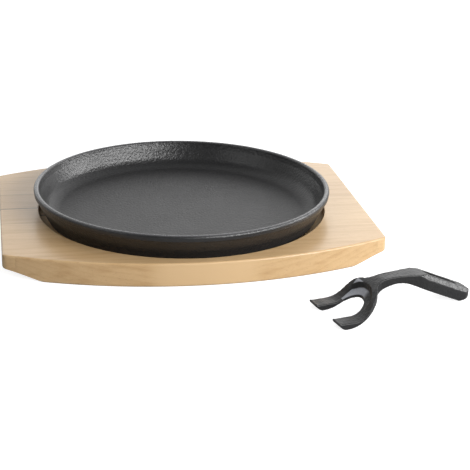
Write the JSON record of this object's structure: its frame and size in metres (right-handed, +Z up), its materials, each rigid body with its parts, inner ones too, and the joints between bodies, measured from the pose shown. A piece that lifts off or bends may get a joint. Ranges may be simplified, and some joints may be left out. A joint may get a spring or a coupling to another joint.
{
  "type": "serving pan",
  "caption": "Round iron serving pan standing in the round recess of a wooden board, with its detachable forked iron gripper lying beside it.",
  "frame": {"origin": "on the table, under the axis of the round pan and of the board's recess", "axes": "+X along the board's length and its glue lines, +Y across the board away from the gripper, +Z up"},
  "size_m": [0.3066, 0.3134, 0.034],
  "materials": {
    "pan_iron": "satin black, fine sand-cast grain",
    "gripper_iron": "satin black, sand-cast grain",
    "board_wood": "pale hardwood, oiled, satin"
  },
  "bodies": {
    "root": {"pan": "pan_iron", "gripper": "gripper_iron", "board_stave_1": "board_wood", "board_stave_2": "board_wood", "board_stave_3": "board_wood", "board_stave_4": "board_wood", "board_stave_5": "board_wood", "board_stave_6": "board_wood", "board_stave_7": "board_wood", "board_stave_8": "board_wood"}
  },
  "joints": []
}
